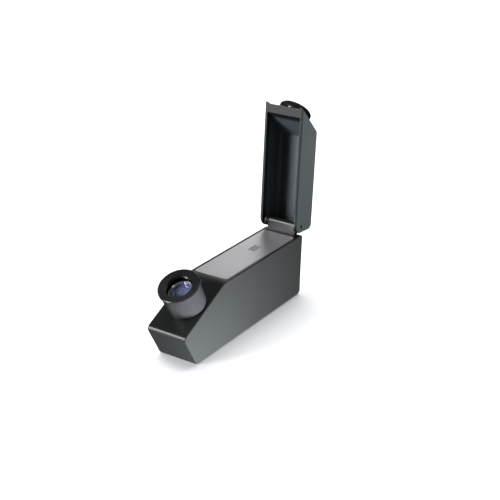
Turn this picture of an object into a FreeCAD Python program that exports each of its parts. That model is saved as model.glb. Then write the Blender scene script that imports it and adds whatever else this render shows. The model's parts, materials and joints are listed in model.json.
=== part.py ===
import FreeCAD, Part
import os

import Sketcher

# A hand-held gem refractometer: a long housing with an eyepiece on its sloped
# front, a metal stage with a glass prism on top and a hinged light-tight lid.
# Frame: origin at the middle of the base face, +Z up, -Y towards the eyepiece.

SIZES = {
    # housing
    "body_width": 30.0,
    "body_height": 44.6,
    "base_length": 122.5,
    "foot_setback": 12.0,
    "slope_run": 43.8,
    "nose_height": 23.0,
    "rear_lean": 2.5,
    "side_wall": 3.0,
    "rear_wall": 3.0,
    "top_wall": 4.6,
    "slope_wall": 4.0,
    "foot_wall": 4.0,
    "nose_solid": 9.0,
    "nose_round": 3.2,
    "brow_round": 10.0,
    "rear_top_round": 1.8,
    "rear_foot_round": 2.6,
    "edge_round": 0.8,
    # base plate and its sheet
    "sheet_thick": 0.6,
    "sheet_inset": 1.5,
    "base_thick": 2.0,
    "base_lip": 1.6,
    "fit_gap": 0.1,
    "overcut": 1.0,
    "post_radius": 3.0,
    "post_height": 12.0,
    "post_side": 10.2,
    "post_front": 8.0,
    "post_rear": 7.0,
    "case_screw_radius": 1.25,
    "case_head_radius": 2.3,
    "case_head_thick": 1.1,
    "case_screw_reach": 5.8,
    "case_bore_depth": 7.0,
    "socket_width_share": 0.75,
    "socket_depth_share": 0.6,
    # stage
    "stage_width": 26.6,
    "stage_front": 3.9,
    "stage_length": 82.8,
    "stage_thick": 2.4,
    "stage_corner": 2.6,
    "stage_bevel": 0.7,
    "stage_screw_side": 10.0,
    "stage_screw_inset": 8.0,
    "small_screw_radius": 1.0,
    "small_head_radius": 1.9,
    "small_head_thick": 1.2,
    "stage_screw_bite": 1.4,
    # prism
    "prism_place": 25.8,
    "prism_radius": 4.5,
    "prism_width": 5.6,
    "prism_heart_share": 0.58,
    "cradle_width": 11.0,
    "cradle_length": 15.0,
    "cradle_depth": 4.8,
    "cradle_screw_side": 4.1,
    "cradle_screw_along": 5.9,
    "cradle_screw_radius": 0.8,
    "cradle_head_radius": 1.28,
    "cradle_head_thick": 0.8,
    "cradle_bridge_foot": 1.5,
    "cradle_bridge_top": 2.5,
    "cradle_gap": 1.0,
    # light path
    "eyepiece_along": 25.4,
    "mirror_depth": 21.0,
    "mirror_side": 13.0,
    "mirror_thick": 1.6,
    "rail_width": 14.0,
    "rail_thick": 2.4,
    "rail_front": -50.0,
    "rail_rear": 6.0,
    "rail_screw_inset": 18.0,
    "stand_screw_bite": 3.5,
    "stand_bore_depth": 4.0,
    "lens_station": 30.0,
    "reticle_station": 53.0,
    "stand_width": 20.0,
    "stand_thick": 8.0,
    "stand_over": 8.5,
    "stand_round": 2.5,
    "lens_radius": 6.0,
    "lens_edge": 1.4,
    "lens_curve": 18.0,
    "lens_land": 1.3,
    "reticle_thick": 1.2,
    "keeper_thick": 1.2,
    "keeper_wall": 1.2,
    "baffle_place": 12.0,
    "baffle_thick": 1.0,
    "baffle_foot": 8.0,
    "baffle_window": 4.6,
    "baffle_clearance": 0.5,
    "baffle_screw_along": 4.8,
    # light port
    "port_drop": 18.6,
    "port_radius": 6.0,
    "port_tube_radius": 7.5,
    "port_flange_radius": 9.4,
    "port_flange_thick": 1.4,
    "port_edge": 0.4,
    "diffuser_lip": 1.0,
    "port_seat": 0.8,
    "port_reach": 4.6,
    "diffuser_thick": 1.2,
    # eyepiece
    "tube_radius": 11.2,
    "tube_bore": 8.6,
    "tube_top": 12.4,
    "tube_foot": 7.0,
    "tube_neck": 9.5,
    "tube_rim": 0.8,
    "tube_flange_thick": 1.6,
    "flange_clearance": 0.3,
    "nut_lip": 0.2,
    "nut_radius": 11.5,
    "barrel_wall": 0.8,
    "focus_start": 0.4,
    "focus_top": 15.9,
    "focus_web": 14.8,
    "mouth_radius": 8.8,
    "cap_overhang": 0.85,
    "cap_thick": 2.1,
    "cap_dish": 0.8,
    "cap_foot_edge": 0.3,
    "cap_edge": 0.6,
    "cap_rim": 1.0,
    "cell_bore": 6.9,
    "cell_foot": 8.0,
    "cell_top": 12.2,
    "cell_seat": 1.1,
    "cell_lip": 0.8,
    "spacer_wall": 0.9,
    "ocular_lip": 0.4,
    "ocular_edge": 0.3,
    "field_lens_curve": 22.4,
    "eye_lens_edge": 1.8,
    "eye_lens_curve": 14.0,
    "field_lens_level": -4.6,
    "ocular_ring_radius": 8.3,
    "ocular_ring_thick": 1.1,
    "key_radius": 0.8,
    "key_level": 5.6,
    "key_slot_top": 3.2,
    "key_depth": 0.9,
    "key_gap": 0.15,
    "running_gap": 0.05,
    # lid and hinge
    "lid_open_angle": 94.3,
    "pin_back": 2.75,
    "pin_height": 6.8,
    "pin_radius": 1.25,
    "lid_gap": 0.3,
    "lid_reach": 84.8,
    "lid_roof": 14.5,
    "lid_roof_reach": 65.1,
    "lid_heel": 4.75,
    "lid_side_wall": 2.0,
    "lid_roof_wall": 2.5,
    "lid_rim_band": 7.0,
    "lid_heel_wall": 2.0,
    "lid_heel_free": 3.6,
    "lid_brow_round": 2.0,
    "lid_heel_round": 3.6,
    "lid_ear_round": 7.6,
    "lid_edge_round": 1.1,
    "lid_hollow_round": 2.4,
    "horn_depth": 1.4,
    "horn_wall": 2.6,
    "horn_round": 1.1,
    "ear_boss_radius": 4.4,
    "ear_boss_thick": 1.6,
    "washer_gap": 0.1,
    "block_thick": 4.6,
    "block_tenon_thick": 2.3,
    "block_tenon_step": 0.6,
    "block_tenon_depth": 3.6,
    "washer_thick": 0.4,
    "washer_radius": 3.6,
    "hinge_screw_side": 7.0,
    "hinge_screw_drop": 2.1,
    "hinge_head_radius": 1.6,
    "hinge_head_seat": 1.1,
    "hinge_head_thick": 0.8,
    "hinge_tap_depth": 1.84,
    "hinge_screw_bite": 1.61,
    "pin_short": 0.5,
    # polariser parked on the lid
    "park_along": 15.6,
    "sleeve_wall": 0.9,
    "park_depth": 2.6,
    "spigot_wall": 1.2,
    "spigot_foot": 2.4,
    "spigot_step": 0.65,
    "spigot_shoulder": 2.8,
    "spigot_top": 4.95,
    "polariser_radius": 11.4,
    "polariser_top": 6.4,
    "polariser_foot_edge": 0.4,
    "polariser_edge": 0.5,
    "polariser_web": 5.1,
    "polariser_web_thick": 0.4,
    "film_radius": 8.8,
    "film_thick": 0.6,
    "polariser_window": 7.6,
}

doc = FreeCAD.newDocument("gem_refractometer")
sheet = doc.addObject("Spreadsheet::Sheet", "Sizes")
for row, (alias, size) in enumerate(SIZES.items(), start=1):
    sheet.set(f"A{row}", alias)
    sheet.set(f"B{row}", str(size))
    sheet.setAlias(f"B{row}", alias)
doc.recompute()

HAIR = 0.02
LEAST_CUT = 1e-6
parts = []


def sized(words):
    """Turn size names in an expression into references to the sheet's cells."""
    found = []
    word = ""
    for letter in words + " ":
        if letter.isalnum() or letter == "_":
            word += letter
            continue
        found.append(f"Sizes.{word}" if word in SIZES else word)
        found.append(letter)
        word = ""
    return "".join(found).strip()


def number(words):
    """The present value of an expression on the sheet's sizes."""
    result = sheet.evalExpression(sized(words))
    return float(getattr(result, "Value", result))


# ---------------------------------------------------------------- places

Z_SHELL = "sheet_thick"
Y_FOOT = "(-base_length / 2)"
Y_NOSE = "(-base_length / 2 - foot_setback)"
Y_BROW = f"({Y_NOSE} + slope_run)"
Y_REAR = "(base_length / 2)"
Y_REAR_TOP = "(base_length / 2 + rear_lean)"
SLOPE_RISE = "(body_height - nose_height)"
SLOPE = f"atan({SLOPE_RISE} / slope_run)"
Z_LEDGE = f"({Z_SHELL} + base_thick)"
Z_CEILING = "(body_height - top_wall)"
SLOPE_DROP = f"(slope_wall / cos({SLOPE}))"

Y_STAGE_FRONT = f"({Y_BROW} + stage_front)"
Y_STAGE_REAR = f"({Y_STAGE_FRONT} + stage_length)"
Z_STAGE_UNDER = "(body_height - stage_thick)"
Y_PRISM = "prism_place"

Y_EYE = f"({Y_NOSE} + eyepiece_along * cos({SLOPE}))"
Z_EYE = f"(nose_height + eyepiece_along * sin({SLOPE}))"
Y_MIRROR = f"({Y_EYE} + mirror_depth * sin({SLOPE}))"
Z_MIRROR = f"({Z_EYE} - mirror_depth * cos({SLOPE}))"
Z_PRISM_HEART = "(body_height - prism_radius * prism_heart_share)"
LIGHT_FALL = f"atan(({Z_PRISM_HEART} - {Z_MIRROR}) / ({Y_PRISM} - {Y_MIRROR}))"
MIRROR_TILT = f"((90 deg - {SLOPE} - {LIGHT_FALL}) / 2)"
Z_RAIL = f"({Z_LEDGE} + rail_thick)"

FIELD_SEAT = "(field_lens_level - eye_lens_edge / 2)"
EYE_LENS_LEVEL = "(cell_top - cell_seat - eye_lens_edge / 2)"

Y_PIN = f"({Y_REAR_TOP} - pin_back)"
Z_PIN = "(body_height + pin_height)"
LID_RIM = "(lid_gap - pin_height)"
LID_SLOPE = f"atan((lid_roof - {LID_RIM}) / (lid_reach - lid_roof_reach))"
Y_PARK = f"(-lid_reach + park_along * cos({LID_SLOPE}))"
Z_PARK = f"({LID_RIM} + park_along * sin({LID_SLOPE}))"
SPIGOT_RADIUS = "(mouth_radius - running_gap)"
SPIGOT_NECK = f"({SPIGOT_RADIUS} - spigot_step)"
SLEEVE_RADIUS = "(mouth_radius + sleeve_wall)"
TUBE_FLANGE = "(tube_radius + tube_rim)"
FOCUS_RADIUS = f"({TUBE_FLANGE} + 4 * running_gap + barrel_wall)"
CAP_RADIUS = f"({FOCUS_RADIUS} + cap_overhang)"
PORT_HEIGHT = "(body_height - port_drop)"
EAR_DEPTH = "(lid_side_wall + ear_boss_thick)"
BLOCK_WIDTH = f"(body_width - 2 * ({EAR_DEPTH} + washer_thick + washer_gap))"


# ---------------------------------------------------------------- tools


def new_body(name):
    """A body whose label names the piece."""
    body = doc.addObject("PartDesign::Body", name)
    body.Label = name
    return body


def finish(piece, name=None):
    """Put a finished object on the list of pieces to be written."""
    if name:
        piece.Label = name
    parts.append(piece)
    return piece


def place(piece, across="0", along="0", up="0", tilt=None):
    """Bind an object's place, and its turn about the X direction, to the sheet."""
    if tilt is not None:
        turn = FreeCAD.Rotation(FreeCAD.Vector(1, 0, 0), number(tilt))
        piece.Placement = FreeCAD.Placement(FreeCAD.Vector(), turn)
        piece.setExpression("Placement.Rotation.Angle", sized(tilt))
    for side, words in zip("xyz", (across, along, up)):
        piece.setExpression(f"Placement.Base.{side}", sized(words))


def new_sketch(body, plane_role, offset="0"):
    """A sketch on one of the body's own origin planes, raised by an offset."""
    planes = body.Origin.OriginFeatures
    plane = next(item for item in planes if item.Role == plane_role)
    sketch = body.newObject("Sketcher::SketchObject", "sketch")
    sketch.AttachmentSupport = (plane, [""])
    sketch.MapMode = "FlatFace"
    sketch.setExpression("AttachmentOffset.Base.z", sized(offset))
    return sketch


def tilted_sketch(body, along, up, tilt):
    """A sketch on a plane through a point, turned about the X direction."""
    sketch = new_sketch(body, "XY_Plane")
    turn = FreeCAD.Rotation(FreeCAD.Vector(1, 0, 0), number(tilt))
    sketch.AttachmentOffset = FreeCAD.Placement(FreeCAD.Vector(), turn)
    sketch.setExpression("AttachmentOffset.Rotation.Angle", sized(tilt))
    sketch.setExpression("AttachmentOffset.Base.y", sized(along))
    sketch.setExpression("AttachmentOffset.Base.z", sized(up))
    return sketch


def bind(sketch, kind, *where, words):
    """Add one dimension to a sketch and bind it to the sheet."""
    index = sketch.addConstraint(Sketcher.Constraint(kind, *where, number(words)))
    sketch.setExpression(f"Constraints[{index}]", sized(words))


def pin_point(sketch, geometry, point, spot):
    """Fix a sketch point at a place measured from the sketch's origin."""
    bind(sketch, "DistanceX", -1, 1, geometry, point, words=spot[0])
    bind(sketch, "DistanceY", -1, 1, geometry, point, words=spot[1])


def outline(sketch, corners):
    """A closed outline of straight lines through bound corners."""
    spots = [FreeCAD.Vector(number(x), number(y), 0) for x, y in corners]
    first = sketch.GeometryCount
    for start, end in zip(spots, spots[1:] + spots[:1]):
        sketch.addGeometry(Part.LineSegment(start, end))
    for place_index, corner in enumerate(corners):
        line = first + place_index
        previous = first + (place_index - 1) % len(corners)
        sketch.addConstraint(Sketcher.Constraint("Coincident", previous, 2, line, 1))
        pin_point(sketch, line, 1, corner)
    return sketch


def rectangle(sketch, left, right, low, high):
    """A rectangle between two pairs of bound sides."""
    return outline(sketch, [(left, low), (right, low), (right, high), (left, high)])


def circles(sketch, radius, spots=(("0", "0"),)):
    """Circles of one radius at bound places."""
    for spot in spots:
        middle = FreeCAD.Vector(number(spot[0]), number(spot[1]), 0)
        ring = Part.Circle(middle, FreeCAD.Vector(0, 0, 1), number(radius))
        circle = sketch.addGeometry(ring)
        bind(sketch, "Radius", circle, words=radius)
        pin_point(sketch, circle, 3, spot)
    return sketch


def pad(sketch, length, both=False, reverse=False):
    """Raise a sketch into a solid."""
    feature = sketch.getParentGeoFeatureGroup().newObject("PartDesign::Pad", "pad")
    feature.Profile = sketch
    feature.setExpression("Length", sized(length))
    feature.SideType = "Symmetric" if both else "One side"
    feature.Reversed = reverse
    doc.recompute()
    return feature


def pocket(sketch, length=None, both=False, reverse=False):
    """Cut a sketch out of the solid, right through where no depth is given."""
    body = sketch.getParentGeoFeatureGroup()
    doc.recompute()
    before = body.Shape.Volume
    feature = body.newObject("PartDesign::Pocket", "pocket")
    feature.Profile = sketch
    feature.SideType = "Symmetric" if both else "One side"
    feature.Reversed = reverse
    if length is None:
        feature.Type = "ThroughAll"
    else:
        feature.setExpression("Length", sized(length))
    doc.recompute()
    if body.Shape.Volume > before - LEAST_CUT:
        raise RuntimeError(f"{body.Label}: a pocket cuts nothing")
    return feature


def revolve(body, corners):
    """Turn an outline of (radius, height) corners about the Z axis."""
    sketch = outline(new_sketch(body, "XZ_Plane"), corners)
    feature = body.newObject("PartDesign::Revolution", "revolution")
    feature.Profile = sketch
    feature.ReferenceAxis = (sketch, ["V_Axis"])
    feature.Angle = 360
    doc.recompute()
    return feature


def round_edges(body, radius, wanted, kind="Fillet"):
    """Round or bevel the edges of the body that a test accepts."""
    doc.recompute()
    names = []
    for index, edge in enumerate(body.Shape.Edges, start=1):
        if wanted(edge):
            names.append(f"Edge{index}")
    if not names:
        raise RuntimeError(f"{body.Label}: no edge to round")
    feature = body.newObject(f"PartDesign::{kind}", kind.lower())
    feature.Base = (feature.BaseFeature, names)
    size_name = "Radius" if kind == "Fillet" else "Size"
    feature.setExpression(size_name, sized(radius))
    doc.recompute()
    return feature


def near(value, target):
    """Whether two places are the same to within a hair."""
    return abs(value - target) < HAIR


def crosswise_at(*spots):
    """Edges that run along X through one of the given (y, z) places."""
    targets = [(number(y), number(z)) for y, z in spots]

    def wanted(edge):
        box = edge.BoundBox
        middle = box.Center
        flat = box.YLength < HAIR and box.ZLength < HAIR
        return flat and any(near(middle.y, y) and near(middle.z, z) for y, z in targets)

    return wanted


def on_side(across):
    """Edges that lie in a plane square to X at either hand."""
    target = number(across)

    def wanted(edge):
        box = edge.BoundBox
        return box.XLength < HAIR and near(abs(box.Center.x), target)

    return wanted


def ring(name, corners, **where):
    """A turned piece, placed."""
    body = new_body(name)
    revolve(body, corners)
    place(body, **where)
    return finish(body)


def lens(name, radius, edge, curve, **where):
    """A lens: a flat-edged disc with a round face bulging out of each side."""
    clear = f"({radius} - lens_land)"
    core = doc.addObject("Part::Cylinder", f"{name}_core")
    core.setExpression("Radius", sized(clear))
    core.setExpression("Height", sized(f"{edge} + 4 * {radius}"))
    place(core, up=f"-({edge} + 4 * {radius}) / 2")
    sink = f"(sqrt(({curve}) ^ 2 - {clear} ^ 2) - {edge} / 2)"
    balls = []
    for side in ("-", "+"):
        ball = doc.addObject("Part::Sphere", f"{name}_ball")
        ball.setExpression("Radius", sized(curve))
        place(ball, up=f"0 {side} {sink}")
        balls.append(ball)
    faces = doc.addObject("Part::MultiCommon", f"{name}_faces")
    faces.Shapes = [core] + balls
    rim = doc.addObject("Part::Cylinder", f"{name}_rim")
    rim.setExpression("Radius", sized(radius))
    rim.setExpression("Height", sized(edge))
    place(rim, up=f"-{edge} / 2")
    glass = doc.addObject("Part::MultiFuse", name)
    glass.Shapes = [rim, faces]
    glass.Refine = True
    place(glass, **where)
    return finish(glass, name)


def on_slope(height="0", **extra):
    """Placement of a piece whose own Z stands square on the sloped face."""
    return {
        "along": f"{Y_EYE} - ({height}) * sin({SLOPE})",
        "up": f"{Z_EYE} + ({height}) * cos({SLOPE})",
        "tilt": SLOPE,
        **extra,
    }


def on_light(station, **extra):
    """Placement of a piece whose own Z lies along the light from the prism."""
    return {
        "along": f"{Y_PRISM} - ({station}) * cos({LIGHT_FALL})",
        "up": f"{Z_PRISM_HEART} - ({station}) * sin({LIGHT_FALL})",
        "tilt": f"90 deg + {LIGHT_FALL}",
        **extra,
    }


def on_lid(**extra):
    """Placement of a piece drawn in the lid's own frame, with the lid open."""
    return {"along": Y_PIN, "up": Z_PIN, "tilt": "-lid_open_angle * 1 deg", **extra}


def on_lid_slope(**extra):
    """Placement of a piece that stands square on the open lid's sloped end."""
    turn = "(lid_open_angle * 1 deg)"
    return {
        "along": f"{Y_PIN} + {Y_PARK} * cos({turn}) + {Z_PARK} * sin({turn})",
        "up": f"{Z_PIN} - {Y_PARK} * sin({turn}) + {Z_PARK} * cos({turn})",
        "tilt": f"{LID_SLOPE} - {turn}",
        **extra,
    }


def four(side, front, rear):
    """Two pairs of places, mirrored left and right."""
    return [(side, front), (f"-{side}", front), (side, rear), (f"-{side}", rear)]


def upright_screws(name, spots, head_level, head_radius, head_thick, radius, length):
    """Cap screws that stand upright with their heads below, all in one piece."""
    body = new_body(name)
    pad(circles(new_sketch(body, "XY_Plane", head_level), head_radius, spots), head_thick)
    pad(circles(new_sketch(body, "XY_Plane", head_level), radius, spots), f"{head_thick} + {length}")
    socket = circles(new_sketch(body, "XY_Plane", head_level), f"{radius} * socket_width_share", spots)
    pocket(socket, f"{head_thick} * socket_depth_share", reverse=True)
    return finish(body)


# ---------------------------------------------------------------- housing

CASE_SPOTS = four("post_side", f"{Y_FOOT} + post_front", f"{Y_REAR} - post_rear")
RAIL_SPOTS = [
    ("0", "rail_front + rail_screw_inset"),
    ("0", "rail_rear - rail_screw_inset"),
    ("0", "baffle_place + baffle_screw_along"),
]
STAGE_SPOTS = four(
    "stage_screw_side",
    f"{Y_STAGE_FRONT} + stage_screw_inset",
    f"{Y_STAGE_REAR} - stage_screw_inset",
)
CRADLE_SPOTS = four(
    "cradle_screw_side",
    f"{Y_PRISM} - cradle_screw_along",
    f"{Y_PRISM} + cradle_screw_along",
)
HINGE_SPOTS = [
    ("hinge_screw_side", "body_height - hinge_screw_drop"),
    ("-hinge_screw_side", "body_height - hinge_screw_drop"),
]
Y_PORT_SEAT = f"({Y_REAR} - port_seat)"
Y_BLOCK_FRONT = f"({Y_PIN} - block_thick / 2)"
Y_TENON_FRONT = f"({Y_BLOCK_FRONT} + block_tenon_step)"
Y_TENON_REAR = f"({Y_TENON_FRONT} + block_tenon_thick)"
Y_HINGE_SEAT = f"({Y_REAR_TOP} - hinge_head_seat)"


def make_body_shell():
    """The cast housing: a slant-nosed box, open below."""
    body = new_body("body_shell")
    side = new_sketch(body, "YZ_Plane")
    outline(side, [
        (Y_FOOT, Z_SHELL),
        (Y_REAR, Z_SHELL),
        (Y_REAR_TOP, "body_height"),
        (Y_BROW, "body_height"),
        (Y_NOSE, "nose_height"),
    ])
    pad(side, "body_width", both=True)
    round_edges(body, "nose_round", crosswise_at((Y_NOSE, "nose_height")))
    round_edges(body, "brow_round", crosswise_at((Y_BROW, "body_height")))
    round_edges(body, "rear_top_round", crosswise_at((Y_REAR_TOP, "body_height")))
    round_edges(body, "rear_foot_round", crosswise_at((Y_REAR, Z_SHELL)))
    round_edges(body, "edge_round", on_side("body_width / 2"))

    hollow = new_sketch(body, "YZ_Plane")
    tan_slope = f"({SLOPE_RISE} / slope_run)"
    outline(hollow, [
        (f"{Y_FOOT} + foot_wall", "0"),
        (f"{Y_REAR} - rear_wall", "0"),
        (f"{Y_REAR} - rear_wall", Z_CEILING),
        (f"{Y_BROW} + ({SLOPE_DROP} - top_wall) / {tan_slope}", Z_CEILING),
        (f"{Y_NOSE} + nose_solid", f"nose_height + nose_solid * {tan_slope} - {SLOPE_DROP}"),
    ])
    pocket(hollow, "body_width - 2 * side_wall", both=True)

    seat = new_sketch(body, "XY_Plane", Z_LEDGE)
    rectangle(
        seat,
        "-body_width / 2 + base_lip", "body_width / 2 - base_lip",
        f"{Y_FOOT} + base_lip", f"{Y_REAR} - base_lip",
    )
    pocket(seat, "base_thick + overcut")

    post = circles(new_sketch(body, "XY_Plane", Z_LEDGE), "post_radius", CASE_SPOTS)
    pad(post, "post_height")
    bores = circles(new_sketch(body, "XY_Plane", Z_LEDGE), "case_screw_radius", CASE_SPOTS)
    pocket(bores, "case_bore_depth", reverse=True)

    recess = new_sketch(body, "XY_Plane", "body_height")
    rectangle(
        recess,
        "-stage_width / 2 - fit_gap", "stage_width / 2 + fit_gap",
        f"{Y_STAGE_FRONT} - fit_gap", f"{Y_STAGE_REAR} + fit_gap",
    )
    pocket(recess, "stage_thick")
    half = number("stage_width / 2 + fit_gap")
    ends = (number(f"{Y_STAGE_FRONT} - fit_gap"), number(f"{Y_STAGE_REAR} + fit_gap"))
    round_edges(body, "stage_corner", lambda edge: (
        edge.BoundBox.ZLength > HAIR
        and near(abs(edge.BoundBox.Center.x), half)
        and any(near(edge.BoundBox.Center.y, end) for end in ends)
    ))
    window = new_sketch(body, "XY_Plane", "body_height")
    rectangle(
        window,
        "-cradle_width / 2 - cradle_gap", "cradle_width / 2 + cradle_gap",
        f"{Y_PRISM} - cradle_length / 2 - cradle_gap", f"{Y_PRISM} + cradle_length / 2 + cradle_gap",
    )
    pocket(window, "top_wall + overcut")
    stage_holes = circles(new_sketch(body, "XY_Plane", "body_height"), "small_screw_radius", STAGE_SPOTS)
    pocket(stage_holes, "top_wall + overcut")

    eye_hole = circles(tilted_sketch(body, Y_EYE, Z_EYE, SLOPE), "tube_neck")
    pocket(eye_hole, "slope_wall + 2 * overcut")

    port = [("0", PORT_HEIGHT)]
    behind = f"-{Y_REAR} - rear_lean - overcut"
    port_seat = circles(new_sketch(body, "XZ_Plane", behind), "port_flange_radius + fit_gap", port)
    pocket(port_seat, "rear_lean + overcut + port_seat", reverse=True)
    port_hole = circles(new_sketch(body, "XZ_Plane", behind), "port_tube_radius", port)
    pocket(port_hole, "rear_lean + 2 * overcut + rear_wall", reverse=True)

    mortise = new_sketch(body, "XY_Plane", "body_height")
    rectangle(
        mortise,
        f"-{BLOCK_WIDTH} / 2", f"{BLOCK_WIDTH} / 2",
        Y_TENON_FRONT, Y_TENON_REAR,
    )
    pocket(mortise, "block_tenon_depth")
    behind = f"-{Y_REAR_TOP} - overcut"
    screw_way = circles(new_sketch(body, "XZ_Plane", behind), "small_screw_radius", HINGE_SPOTS)
    pocket(screw_way, f"{Y_REAR_TOP} + overcut - {Y_TENON_FRONT}", reverse=True)
    head_way = circles(new_sketch(body, "XZ_Plane", behind), "hinge_head_radius + fit_gap", HINGE_SPOTS)
    pocket(head_way, "1 + hinge_head_seat", reverse=True)
    return finish(body)


def make_base():
    """The base plate, its four screws and the thin non-slip sheet under it."""
    plate = new_body("base_plate")
    plate_sides = (
        "-body_width / 2 + base_lip + fit_gap", "body_width / 2 - base_lip - fit_gap",
        f"{Y_FOOT} + base_lip + fit_gap", f"{Y_REAR} - base_lip - fit_gap",
    )
    pad(rectangle(new_sketch(plate, "XY_Plane", Z_SHELL), *plate_sides), "base_thick")
    spots = CASE_SPOTS + RAIL_SPOTS
    holes = circles(new_sketch(plate, "XY_Plane", Z_SHELL), "case_screw_radius", spots)
    pocket(holes, "base_thick + overcut", reverse=True)
    heads = circles(new_sketch(plate, "XY_Plane", Z_SHELL), "case_head_radius + fit_gap", spots)
    pocket(heads, "case_head_thick", reverse=True)
    finish(plate)

    mat = new_body("anti_slip_sheet")
    footprint = rectangle(
        new_sketch(mat, "XY_Plane"),
        "-body_width / 2 + base_lip + sheet_inset", "body_width / 2 - base_lip - sheet_inset",
        f"{Y_FOOT} + base_lip + sheet_inset", f"{Y_REAR} - base_lip - sheet_inset",
    )
    pad(footprint, "sheet_thick")
    holes = circles(new_sketch(mat, "XY_Plane"), "case_head_radius + 2 * fit_gap", spots)
    pocket(holes, "sheet_thick + overcut", reverse=True)
    finish(mat)

    screw_sizes = ("case_head_radius", "case_head_thick", "case_screw_radius")
    upright_screws("base_screws", CASE_SPOTS, Z_SHELL, *screw_sizes, "case_screw_reach")
    bite = "base_thick - case_head_thick + rail_thick"
    upright_screws("rail_screws", RAIL_SPOTS, Z_SHELL, *screw_sizes, bite)


def make_stage():
    """The metal stage plate with its prism window, and its screws from below."""
    body = new_body("stage_plate")
    top = new_sketch(body, "XY_Plane", Z_STAGE_UNDER)
    rectangle(top, "-stage_width / 2", "stage_width / 2", Y_STAGE_FRONT, Y_STAGE_REAR)
    pad(top, "stage_thick")
    round_edges(body, "stage_corner", lambda edge: edge.BoundBox.ZLength > HAIR)
    height = number("body_height")
    round_edges(body, "stage_bevel", lambda edge: (
        edge.BoundBox.ZLength < HAIR and near(edge.BoundBox.Center.z, height)
    ), "Chamfer")
    window = new_sketch(body, "XY_Plane", "body_height")
    rectangle(
        window,
        "-prism_width / 2 - fit_gap / 2", "prism_width / 2 + fit_gap / 2",
        f"{Y_PRISM} - prism_radius - fit_gap / 2", f"{Y_PRISM} + prism_radius + fit_gap / 2",
    )
    pocket(window, "stage_thick + overcut")
    holes = circles(new_sketch(body, "XY_Plane", Z_STAGE_UNDER), "small_screw_radius", STAGE_SPOTS)
    pocket(holes, "stage_screw_bite", reverse=True)
    small = circles(new_sketch(body, "XY_Plane", Z_STAGE_UNDER), "cradle_screw_radius", CRADLE_SPOTS)
    pocket(small, "stage_screw_bite", reverse=True)
    finish(body)
    upright_screws(
        "stage_screws", STAGE_SPOTS, f"{Z_CEILING} - small_head_thick", "small_head_radius",
        "small_head_thick", "small_screw_radius", "top_wall - stage_thick + stage_screw_bite",
    )


def make_prism():
    """The half-round glass prism and the cradle that holds it under the stage."""
    glass = new_body("hemicylinder_prism")
    disc = circles(new_sketch(glass, "YZ_Plane"), "prism_radius", [(Y_PRISM, "body_height")])
    pad(disc, "prism_width", both=True)
    upper = new_sketch(glass, "YZ_Plane")
    rectangle(
        upper,
        f"{Y_PRISM} - prism_radius - overcut", f"{Y_PRISM} + prism_radius + overcut",
        "body_height", "body_height + prism_radius + overcut",
    )
    pocket(upper, "prism_width + 2 * overcut", both=True)
    finish(glass)

    cradle = new_body("prism_cradle")
    under = new_sketch(cradle, "XY_Plane", f"{Z_STAGE_UNDER} - cradle_depth")
    rectangle(
        under,
        "-cradle_width / 2", "cradle_width / 2",
        f"{Y_PRISM} - cradle_length / 2", f"{Y_PRISM} + cradle_length / 2",
    )
    pad(under, "cradle_depth")
    slot = new_sketch(cradle, "XZ_Plane", f"-{Y_PRISM}")
    rectangle(
        slot,
        "-prism_width / 2 - fit_gap / 2", "prism_width / 2 + fit_gap / 2",
        "body_height - prism_radius - fit_gap", "body_height",
    )
    pocket(slot, "cradle_length + 2 * overcut", both=True)
    # The floor under the glass narrows to a bridge, so that light passes fore and aft.
    for hand in ("-", "+"):
        window = new_sketch(cradle, "YZ_Plane")
        outline(window, [
            (f"{Y_PRISM} {hand} (cradle_length / 2 + overcut)", f"{Z_STAGE_UNDER} - cradle_depth - overcut"),
            (f"{Y_PRISM} {hand} cradle_bridge_foot", f"{Z_STAGE_UNDER} - cradle_depth - overcut"),
            (f"{Y_PRISM} {hand} cradle_bridge_top", "body_height - prism_radius"),
            (f"{Y_PRISM} {hand} (cradle_length / 2 + overcut)", "body_height - prism_radius"),
        ])
        pocket(window, "prism_width + fit_gap", both=True)
    # Each cheek takes a tiny screw at each end, up into the stage.
    holes = circles(new_sketch(cradle, "XY_Plane", Z_STAGE_UNDER), "cradle_screw_radius", CRADLE_SPOTS)
    pocket(holes, "cradle_depth + overcut")
    finish(cradle)
    upright_screws(
        "cradle_screws", CRADLE_SPOTS, f"{Z_STAGE_UNDER} - cradle_depth - cradle_head_thick",
        "cradle_head_radius", "cradle_head_thick", "cradle_screw_radius", "cradle_depth + stage_screw_bite",
    )


# ---------------------------------------------------------------- light path


def stand(name, station, bore):
    """An upright plate on the rail with a bore along the light."""
    body = new_body(name)
    middle_y = f"({Y_PRISM} - {station} * cos({LIGHT_FALL}))"
    middle_z = f"({Z_PRISM_HEART} - {station} * sin({LIGHT_FALL}))"
    foot = new_sketch(body, "XY_Plane", Z_RAIL)
    rectangle(
        foot,
        "-stand_width / 2", "stand_width / 2",
        f"{middle_y} - stand_thick / 2", f"{middle_y} + stand_thick / 2",
    )
    pad(foot, f"{middle_z} + stand_over - {Z_RAIL}")
    round_edges(body, "stand_round", lambda edge: (
        edge.BoundBox.YLength > HAIR and edge.BoundBox.XLength < HAIR
        and edge.BoundBox.Center.z > number(middle_z)
    ))
    hole = circles(tilted_sketch(body, middle_y, middle_z, f"90 deg + {LIGHT_FALL}"), bore)
    pocket(hole, "stand_thick * 3", both=True)
    screw = circles(new_sketch(body, "XY_Plane", Z_RAIL), "small_screw_radius", [("0", middle_y)])
    pocket(screw, "stand_bore_depth", reverse=True)
    finish(body)
    return ("0", middle_y)


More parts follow.
